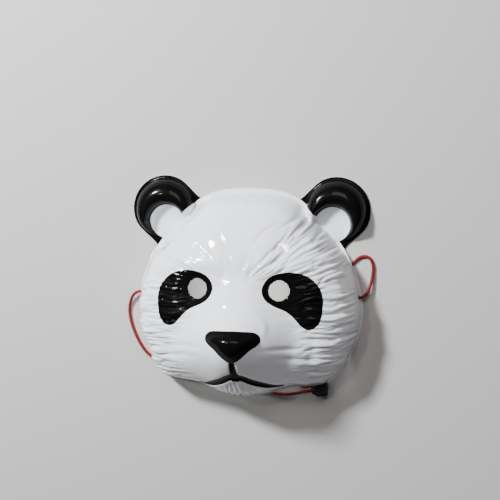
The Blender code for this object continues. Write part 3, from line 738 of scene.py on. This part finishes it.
class Finish:
    """One material whose nodes are made by a few calls."""

    def __init__(self, name):
        self.material = bpy.data.materials.new(name)
        self.material.use_nodes = True
        self.tree = self.material.node_tree
        self.tree.nodes.clear()
        self.shader = self.tree.nodes.new("ShaderNodeBsdfPrincipled")
        output = self.tree.nodes.new("ShaderNodeOutputMaterial")
        self.tree.links.new(self.shader.outputs[0], output.inputs["Surface"])

    def put(self, node, name, value):
        """Sets one socket of a node to a value, or joins a link to it."""
        socket = node.inputs[name]
        if isinstance(value, Link):
            self.tree.links.new(value.socket, socket)
        elif socket.type == "RGBA":
            socket.default_value = (*value, 1.0)
        else:
            socket.default_value = value

    def node(self, kind, settings=None, sockets=None, output=0):
        """New node of a type with its settings, then the values or links of its sockets."""
        node = self.tree.nodes.new(kind)
        for name, value in (settings or {}).items():
            setattr(node, name, value)
        for name, value in (sockets or {}).items():
            self.put(node, name, value)
        return Link(self, node.outputs[output])

    def shade(self, **values):
        """Sets the shader's sockets, with spaces in their names as underscores."""
        for name, value in values.items():
            self.put(self.shader, name.replace("_", " "), value)
        return self.material

    def stored(self, name):
        return self.node("ShaderNodeAttribute", {"attribute_name": name}, output="Fac")

    def place(self):
        return self.node("ShaderNodeTexCoord", output="Object")

    def cloud(self, scale, detail=2.0, at=None, rough=0.5):
        """Noise from 0 to 1, at the object's own places unless others are given."""
        sockets = {"Vector": at or self.place(), "Scale": scale, "Detail": detail, "Roughness": rough}
        return self.node("ShaderNodeTexNoise", sockets=sockets)

    def vector(self, x, y, z):
        return self.node("ShaderNodeCombineXYZ", sockets={0: x, 1: y, 2: z})

    def mix(self, share, first, second):
        """Colour that goes from first to second."""
        sockets = {0: share, 6: first, 7: second}
        return self.node("ShaderNodeMix", {"data_type": "RGBA"}, sockets, output=2)

    def bump(self, height, distance, strength):
        sockets = {"Height": height, "Distance": distance, "Strength": strength}
        return self.node("ShaderNodeBump", sockets=sockets)


def painted_sheet(colours):
    """Glossy white sheet with gloss black paint on the ears, eye patches, nose and mouth."""
    f = Finish("painted_gloss_sheet")
    waver = (f.cloud(380.0, 2.0) - 0.5) * 0.5
    paint = f.stored("patch_inside") + waver
    for name in ("nose_inside", "mouth_inside", "ear_inside"):
        paint = paint.largest(f.stored(name) + waver * 0.4)
    paint = paint.between(-PAINT_EDGE, PAINT_EDGE)
    flat = f.node("ShaderNodeVectorMath", {"operation": "MULTIPLY"}, {0: f.place(), 1: (1.0, 1.0, 0.0)})
    speck = None
    for sx, sy, radius in SPECKS:
        spot = ((sx + FACE_SHIFT[0]) * MM, (sy + FACE_SHIFT[1]) * MM, 0.0)
        ends = {0: flat, 1: spot}
        far = f.node("ShaderNodeVectorMath", {"operation": "DISTANCE"}, ends, output="Value")
        mark = 1 - far.between(0.6 * radius * MM, radius * MM)
        speck = mark if speck is None else speck.largest(mark)
    tint = f.mix(f.cloud(14.0, 3.0), colours.sheet_white, colours.sheet_shade)
    black = f.mix(f.cloud(60.0, 3.0), colours.paint_black, (0.004, 0.0038, 0.0038))
    colour = f.mix(paint, f.mix(speck * 0.75, tint, (0.09, 0.07, 0.06)), black)
    strands = f.vector(f.stored("fur_across") * 2.4, f.stored("fur_along") * 1.7, 0.0)
    fine = f.cloud(1.0, 3.0, at=strands, rough=0.6)
    orange = f.cloud(900.0, 1.0)
    height = fine * f.stored("fur_deep") + orange * 0.03
    rough = colours.sheet_gloss + (f.cloud(55.0, 4.0) - 0.5) * 0.08 + paint * 0.04
    nose, mouth = f.stored("nose_inside"), f.stored("mouth_inside")
    edge = nose.between(-PAINT_EDGE, PAINT_EDGE) - nose.between(2.0, 6.0)
    edge = edge.largest(mouth.between(-PAINT_EDGE, PAINT_EDGE))
    gloss = 0.85 - paint * 0.61 - edge * 0.21
    return f.shade(Base_Color=colour, Roughness=rough, Normal=f.bump(height, 0.0011, 1.0),
                   IOR=1.38, Specular_IOR_Level=0.03, Coat_Weight=gloss, Coat_Roughness=0.05,
                   Coat_IOR=1.38)


def bare_sheet(colours):
    """Unpainted inside and cut edge of the sheet, a little duller."""
    f = Finish("bare_sheet_inside")
    tint = f.mix(f.cloud(22.0, 3.0), colours.sheet_white, (0.70, 0.70, 0.71))
    return f.shade(Base_Color=tint, Roughness=0.38 + f.cloud(70.0) * 0.1,
                   Normal=f.bump(f.cloud(1400.0, 2.0), 0.00008, 0.4), IOR=1.5)


def braided_cover(colours, pitch):
    """Red braid: two sets of threads that cross, with painted shade in the gaps between them."""
    f = Finish("red_braided_elastic")
    run = f.stored("run") * (math.tau / pitch)
    turn = f.stored("turn_sine").angle(f.stored("turn_cosine"))
    one = (run + turn * 5.0).sine()
    two = (run - turn * 5.0).sine()
    weave = abs(one).largest(abs(two))
    thread = weave.between(0.35, 1.0)
    fuzz = f.cloud(2600.0, 2.0)
    worn = f.mix(f.cloud(90.0, 3.0), colours.cord_red, (0.2, 0.001, 0.003))
    # Painted shade: the gaps between the threads are darkened to a near-black red, the threads keep the
    # worn red
    colour = f.mix(thread * 0.75 + fuzz * 0.25, (0.07, 0.001, 0.002), worn)
    return f.shade(Base_Color=colour, Roughness=0.62, Normal=f.bump(weave + fuzz * 0.3, 0.00022, 0.9),
                   Sheen_Weight=0.05, Sheen_Roughness=0.4, Specular_IOR_Level=0.3)


def moulded_black(colours):
    """Satin black plastic of the cap."""
    f = Finish("satin_black_cap")
    grain = f.cloud(1500.0, 3.0)
    tint = f.mix(f.cloud(160.0, 3.0), colours.cap_black, (0.014, 0.0135, 0.0135))
    return f.shade(Base_Color=tint, Roughness=0.36 + f.cloud(240.0, 2.0) * 0.16,
                   Normal=f.bump(grain, 0.00006, 0.5), IOR=1.48, Specular_IOR_Level=0.2)


def plain_floor(colours):
    f = Finish("pale_floor")
    tint = f.mix(f.cloud(3.0, 3.0), colours.floor, tuple(0.985 * c for c in colours.floor))
    return f.shade(Base_Color=tint, Roughness=0.55, IOR=1.35)


def length_property(name, description, default, least, most):
    """Property for a length whose values are given in millimetres."""
    return FloatProperty(name=name, description=description, default=default * MM, min=least * MM,
                         max=most * MM, unit="LENGTH", precision=5)


def colour_property(name, description, default):
    return FloatVectorProperty(name=name, description=description, default=default, subtype="COLOR",
                               size=3, min=0.0, max=1.0)


class MaskSizes(bpy.types.PropertyGroup):
    sheet: length_property("Sheet", "Thickness of the formed sheet", default=1.2, least=0.3, most=1.6)
    net: length_property("Net", "Spacing of the shell's mesh", default=0.95, least=0.8, most=4)
    fur: length_property("Fur", "Height of the moulded strands", default=1.8, least=0, most=3)


class CordSizes(bpy.types.PropertyGroup):
    diameter: length_property("Diameter", "Thickness of the elastic cord", default=2.6, least=1, most=3.4)
    pitch: length_property("Pitch", "Length of one turn of the braid", default=5.2, least=2, most=12)
    sides: IntProperty(name="Sides", description="Sides of the cord's tube", default=16, min=8, max=32)


class CapSizes(bpy.types.PropertyGroup):
    diameter: length_property("Diameter", "Outer diameter over the ribs", default=14.6, least=8, most=16)
    length: length_property("Length", "Length of the cap", default=13.4, least=8, most=15)
    neck: length_property("Neck", "Diameter where the cord goes in", default=9, least=7, most=14)
    flare: length_property("Flare", "Length over which the neck widens", default=5, least=1, most=7)
    rib_depth: length_property("Rib depth", "Depth of the grooves", default=0.8, least=0, most=2)
    ribs: IntProperty(name="Ribs", description="Number of ribs round the cap", default=20, min=6, max=40)


class Finishes(bpy.types.PropertyGroup):
    sheet_white: colour_property("Sheet", "Colour of the white sheet", default=(0.785, 0.805, 0.845))
    sheet_shade: colour_property(
        "Sheet, thin places", "Colour of the white sheet where it is thinner", default=(0.745, 0.76, 0.795))
    sheet_gloss: FloatProperty(
        name="Sheet roughness", description="Roughness of the formed sheet", default=0.2, min=0.02,
        max=1.0, subtype="FACTOR")
    paint_black: colour_property("Paint", "Colour of the black paint", default=(0.0016, 0.0016, 0.0017))
    cord_red: colour_property("Cord", "Colour of the elastic cord", default=(0.31, 0.001, 0.0045))
    cap_black: colour_property("Cap", "Colour of the cap", default=(0.005, 0.005, 0.0052))
    floor: colour_property("Floor", "Colour of the floor", default=(0.46, 0.453, 0.443))


class StageSizes(bpy.types.PropertyGroup):
    key: FloatProperty(
        name="Key light", description="Power of the key light in watts", default=52.0, min=0.0)
    spark: FloatProperty(
        name="Spark light", description="Power of the small light for the highlights in watts",
        default=2.0, min=0.0)
    fill: FloatProperty(
        name="Fill light", description="Power of the fill light in watts", default=7.0, min=0.0)
    inner: FloatProperty(
        name="Inner light", description="Power of the light behind the eye holes in watts",
        default=0.09, min=0.0)
    sky: FloatProperty(
        name="Room light", description="Strength of the even room light", default=0.09, min=0.0)


class MaskSettings(bpy.types.PropertyGroup):
    shell: PointerProperty(type=MaskSizes, name="Shell", description="Sizes of the shell")
    cord: PointerProperty(type=CordSizes, name="Cord", description="Sizes of the cord")
    cap: PointerProperty(type=CapSizes, name="Cap", description="Sizes of the cap")
    finishes: PointerProperty(type=Finishes, name="Finishes", description="Colours and gloss")
    stage: PointerProperty(type=StageSizes, name="Stage", description="Lights of the stage")


class BuildShell(bpy.types.Operator):
    """Build the painted shell with its fur, eye holes and cord holes"""

    bl_idname = "panda_mask.shell"
    bl_label = "Build shell"
    bl_options = {"REGISTER", "UNDO"}

    def execute(self, context):
        sizes = context.scene.panda_mask.shell
        colours = context.scene.panda_mask.finishes
        x, y, faces, head = shell_net(sizes.net / MM)
        z = outer_height(x, y, head, sizes.sheet / MM)
        shell = add_mesh("painted_shell", np.stack([x, y, z], axis=-1), faces)
        self.mould(shell.data, x, y, z, head, sizes.fur / MM)
        self.thicken(shell, sizes.sheet)
        self.cut_cord_holes(shell)
        self.mark(shell.data, head)
        shell.data.materials.append(painted_sheet(colours))
        shell.data.materials.append(bare_sheet(colours))
        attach(shell, "root")
        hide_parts("mask_shell")
        return {"FINISHED"}

    def mould(self, mesh, x, y, z, head, depth):
        """Moves the net in and out of itself by the fur's relief, on the head only."""
        normals = vectors(mesh.vertices, "normal")
        normals *= np.where(normals[:, 2:] < 0, -1.0, 1.0)
        on_head = smooth_step(nearest(x, y, head)[0] / 2)
        relief = fur_relief(x, y, z - rim_lift(y), depth) * on_head
        places = vectors(mesh.vertices, "co") + normals * relief[:, None] * MM
        mesh.vertices.foreach_set("co", places.ravel())
        mesh.update()

    def thicken(self, shell, sheet):
        """Gives the net its thickness inwards, with the trim's underside flat."""
        bm = bmesh.new()
        bm.from_mesh(shell.data)
        bmesh.ops.remove_doubles(bm, verts=bm.verts[:], dist=0.02 * MM)
        bm.normal_update()
        if sum(f.normal.z for f in bm.faces) < 0:
            bmesh.ops.reverse_faces(bm, faces=bm.faces[:])
        outside = set(bm.verts)
        both_sides = 2 * len(bm.faces)
        bmesh.ops.solidify(bm, geom=bm.faces[:], thickness=sheet)
        bm.faces.index_update()
        bm.faces.sort(key=lambda face: edge_order(face, both_sides))
        for v in bm.verts:
            lift = float(rim_lift(v.co.y / MM - FACE_SHIFT[1])) * MM
            if v not in outside and v.co.z < lift + sheet / 2:
                v.co.z = lift
        bmesh.ops.recalc_face_normals(bm, faces=bm.faces[:])
        bm.to_mesh(shell.data)
        bm.free()

    def cut_cord_holes(self, shell):
        """Cuts a round hole through each temple wall."""
        cutters = []
        for side in (-1, 1):
            bpy.ops.mesh.primitive_cylinder_add(
                vertices=32, radius=CORD_HOLE / 2 * MM, depth=CUTTER_LENGTH * MM)
            cutter = bpy.context.object
            cutter.rotation_euler = (0, math.pi / 2, 0)
            cutter.location = Vector((side * (HALF_WIDTH - CUTTER_INSET), FACE_SHIFT[1], HOLE_HEIGHT)) * MM
            cut = shell.modifiers.new("cord_hole", "BOOLEAN")
            cut.operation = "DIFFERENCE"
            cut.solver = "EXACT"
            cut.object = cutter
            cutters.append(cutter)
        applied(shell)
        for cutter in cutters:
            drop(cutter)

    def mark(self, mesh, head):
        """Stores how far inside each painted area every place lies, and the fur's run."""
        x, y, z = vectors(mesh.vertices, "co").T / MM
        y = y - FACE_SHIFT[1]
        ax = np.abs(x)
        head_inset, _ = nearest(x, y, head)
        ear = np.minimum(-head_inset, np.hypot(ax - BOWL_X, y - BOWL_Y) - BOWL_RADIUS + PAINT_OVERLAP)
        put_attribute(mesh, "ear_inside", np.minimum(ear, y - FLANGE_START))
        put_attribute(mesh, "patch_inside", nearest(ax, y, patch_loop())[0])
        put_attribute(mesh, "nose_inside", nearest(x, y, nose_loop())[0])
        put_attribute(mesh, "mouth_inside", mouth_distance(x, y))
        across, along = fur_flow(x, y)
        put_attribute(mesh, "fur_across", across)
        put_attribute(mesh, "fur_along", along)
        put_attribute(mesh, "fur_deep", fur_strength(x, y, z - rim_lift(y)))
        inner = vectors(mesh.polygons, "normal")[:, 2] <= 0
        mesh.polygons.foreach_set("material_index", inner.astype(np.int32))
        mesh.polygons.foreach_set("use_smooth", [True] * len(mesh.polygons))
        mesh.update()


class BuildCords(bpy.types.Operator):
    """Build the two strands of elastic cord and the knots that hold them"""

    bl_idname = "panda_mask.cords"
    bl_label = "Build cords and knots"
    bl_options = {"REGISTER", "UNDO"}

    def execute(self, context):
        sizes = context.scene.panda_mask.cord
        braid = braided_cover(context.scene.panda_mask.finishes, sizes.pitch / MM)
        radius = sizes.diameter / MM / 2
        for name, route, side in (("left", LEFT_ROUTE, -1), ("right", RIGHT_ROUTE, 1)):
            knot = self.knot("tied_knot_" + name, side, radius, sizes.sides)
            knot.data.materials.append(braid)
            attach(knot, "root")
            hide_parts("knot_" + name)
            path, run = evenly(through(route, 24), CORD_SPACING)
            cord = tube("elastic_cord_" + name, path, radius, sizes.sides)
            cord.data.materials.append(braid)
            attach(cord, "root")
            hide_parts("cord_" + name)
        return {"FINISHED"}

    def knot(self, name, side, radius, sides):
        """Overhand knot in the cord's end, close against the inside of the wall."""
        size = KNOT_SIZE * radius
        path = list(KNOT_NECK)
        for t in np.linspace(0.35, math.tau - 0.55, 34):
            flat = (math.sin(t) + 2 * math.sin(2 * t), math.cos(t) - 2 * math.cos(2 * t))
            path.append((-size * math.sin(3 * t), size * flat[0], size * flat[1]))
        path = through(path + list(KNOT_TAIL), 4)
        path[:, 0] = side * (path[:, 0] + KNOT_X)
        path[:, 2] += HOLE_HEIGHT
        return tube(name, path, KNOT_STRETCH * radius, sides)


class BuildCap(bpy.types.Operator):
    """Build the ribbed cap in which both strands end"""

    bl_idname = "panda_mask.cap"
    bl_label = "Build cap"
    bl_options = {"REGISTER", "UNDO"}

    def execute(self, context):
        sizes = context.scene.panda_mask.cap
        radius, half = sizes.diameter / MM / 2, sizes.length / MM / 2
        depth = sizes.rib_depth / MM
        steps = 12 * sizes.ribs
        turns = np.arange(steps) * math.tau / steps
        groove = (0.5 - 0.5 * np.cos(turns * sizes.ribs)) ** RIB_ROUNDNESS
        slim = sizes.neck / sizes.diameter
        full = sizes.flare / MM - half
        # Rings from the flat end's middle to the neck's: place along the cap, share of radius, groove
        rings = (
            (half - 0.5, 0.0, 0.0), (half - 0.5, 0.62, 0.0), (half - 0.1, 0.70, 0.0), (half, 0.78, 0.0),
            (half, 0.86, 0.1), (half - 0.25, 0.925, 0.7), (half - 0.8, 0.975, 1.0), (half - 1.5, 1.0, 1.0),
            (half - 2.6, 1.0, 1.0), (half - 3.1, 0.985, 0.75), (half - 3.6, 0.94, 0.3),
            (half - 4.1, 0.985, 0.75), (half - 4.6, 1.0, 1.0), (full + 0.5, 1.0, 1.0),
            (full - 0.2, 0.975, 0.9), (full - 1.4, 0.975 - 0.28 * (1 - slim), 0.7),
            (1.2 - half, slim + 0.14 * (1 - slim), 0.35), (0.5 - half, slim, 0.2),
            (0.12 - half, 0.93 * slim, 0.1), (-half, 0.82 * slim, 0.0), (-half, 0.0, 0.0),
        )
        points = []
        for along, share, cut in rings:
            r = radius * share - depth * cut * groove
            ring = [np.full(steps, along), r * np.cos(turns), r * np.sin(turns)]
            points += np.stack(ring, axis=-1).tolist()
        turned = np.array(Matrix.Rotation(math.radians(CAP_TURN), 3, "Z"))
        middle = np.array([CAP_X, CAP_Y, radius + CAP_CLEARANCE])
        cap = add_mesh("ribbed_cap", np.array(points) @ turned.T + middle, ring_faces(len(rings), steps))
        bm = bmesh.new()
        bm.from_mesh(cap.data)
        bmesh.ops.remove_doubles(bm, verts=bm.verts[:], dist=0.004 * MM)
        bmesh.ops.recalc_face_normals(bm, faces=bm.faces[:])
        bm.to_mesh(cap.data)
        bm.free()
        cap.data.set_sharp_from_angle(angle=math.radians(38))
        cap.data.materials.append(moulded_black(context.scene.panda_mask.finishes))
        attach(cap, "root")
        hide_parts("cord_cap")
        return {"FINISHED"}


class BuildStage(bpy.types.Operator):
    """Build the floor, the lights and the camera"""

    bl_idname = "panda_mask.stage"
    bl_label = "Build stage"
    bl_options = {"REGISTER", "UNDO"}

    def execute(self, context):
        scene = context.scene
        settings = scene.panda_mask
        bpy.ops.mesh.primitive_plane_add(size=6.0)
        floor = context.object
        floor.name = "floor"
        floor.data.materials.append(plain_floor(settings.finishes))
        power = settings.stage
        # Name, place, aim, size, power and colour of each light, in metres and watts
        lights = (
            ("key_light", (-0.72, 0.77, 0.92), (0, 0.02, 0.03), 0.18, power.key, (0.975, 0.99, 1)),
            ("spark_light", (-0.42, 0.36, 1.1), (0, 0, 0.05), 0.07, power.spark, (1, 1, 1)),
            ("fill_light", (0.15, 0.85, 1.15), (0, 0, 0.03), 0.6, power.fill, (1, 0.93, 0.91)),
            ("inner_light", (0, 0, 0.046), (0, 0, 0), 0.08, power.inner, (1, 1, 0.98)),
        )
        for name, place, aim, size, watts, colour in lights:
            data = bpy.data.lights.new(name, "AREA")
            data.size = size
            data.energy = watts
            data.color = colour
            light = bpy.data.objects.new(name, data)
            light.location = place
            light.rotation_euler = (Vector(aim) - Vector(place)).to_track_quat("-Z", "Y").to_euler()
            scene.collection.objects.link(light)
        world = bpy.data.worlds.new("room")
        world.use_nodes = True
        sky = world.node_tree.nodes["Background"]
        sky.inputs["Color"].default_value = (0.93, 0.95, 1.0, 1.0)
        sky.inputs["Strength"].default_value = settings.stage.sky
        scene.world = world
        self.camera(scene)
        return {"FINISHED"}

    def camera(self, scene):
        """Camera that looks at the face a little from its right and from above the forehead."""
        aside, above = (math.tan(math.radians(turn)) for turn in (CAMERA_ASIDE, CAMERA_ABOVE))
        back = Vector((aside, above, 1.0)).normalized()
        up = (Vector((0, 1, 0)) - back * back.y).normalized()
        right = up.cross(back)
        roll = math.radians(CAMERA_ROLL)
        cosine, sine = math.cos(roll), math.sin(roll)
        right, up = right * cosine - up * sine, up * cosine + right * sine
        target = Vector((CAMERA_AIM[0], CAMERA_AIM[1] + FACE_SHIFT[1], 0.0)) * MM
        data = bpy.data.cameras.new("camera")
        data.sensor_width = SENSOR
        data.lens = SENSOR / PICTURE_WIDTH * CAMERA_DISTANCE / PIXEL
        data.clip_start = 0.05
        camera = bpy.data.objects.new("camera", data)
        turn = Matrix((right, up, back)).transposed()
        camera.matrix_world = Matrix.Translation(target + back * CAMERA_DISTANCE * MM) @ turn.to_4x4()
        scene.collection.objects.link(camera)
        scene.camera = camera
        return camera


class MaskPanel(bpy.types.Panel):
    """Sizes, colours and build steps of the mask"""

    bl_idname = "VIEW3D_PT_panda_mask"
    bl_label = "Panda mask"
    bl_space_type = "VIEW_3D"
    bl_region_type = "UI"
    bl_category = "Panda mask"

    def draw(self, context):
        settings = context.scene.panda_mask
        layout = self.layout
        for title in ("shell", "cord", "cap", "finishes", "stage"):
            group = getattr(settings, title)
            box = layout.box()
            box.label(text=title.capitalize())
            for name in group.__annotations__:
                box.prop(group, name)
        for operator in (BuildShell, BuildCap, BuildCords, BuildStage):
            layout.operator(operator.bl_idname)


CLASSES = (
    MaskSizes, CordSizes, CapSizes, Finishes, StageSizes, MaskSettings,
    BuildShell, BuildCords, BuildCap, BuildStage, MaskPanel,
)


def register():
    for cls in CLASSES:
        bpy.utils.register_class(cls)
    bpy.types.Scene.panda_mask = PointerProperty(type=MaskSettings)


def unregister():
    del bpy.types.Scene.panda_mask
    for cls in reversed(CLASSES):
        bpy.utils.unregister_class(cls)


def main():
    register()
    bpy.ops.panda_mask.shell()
    bpy.ops.panda_mask.cap()
    bpy.ops.panda_mask.cords()
    bpy.ops.panda_mask.stage()


if __name__ == "__main__":
    main()
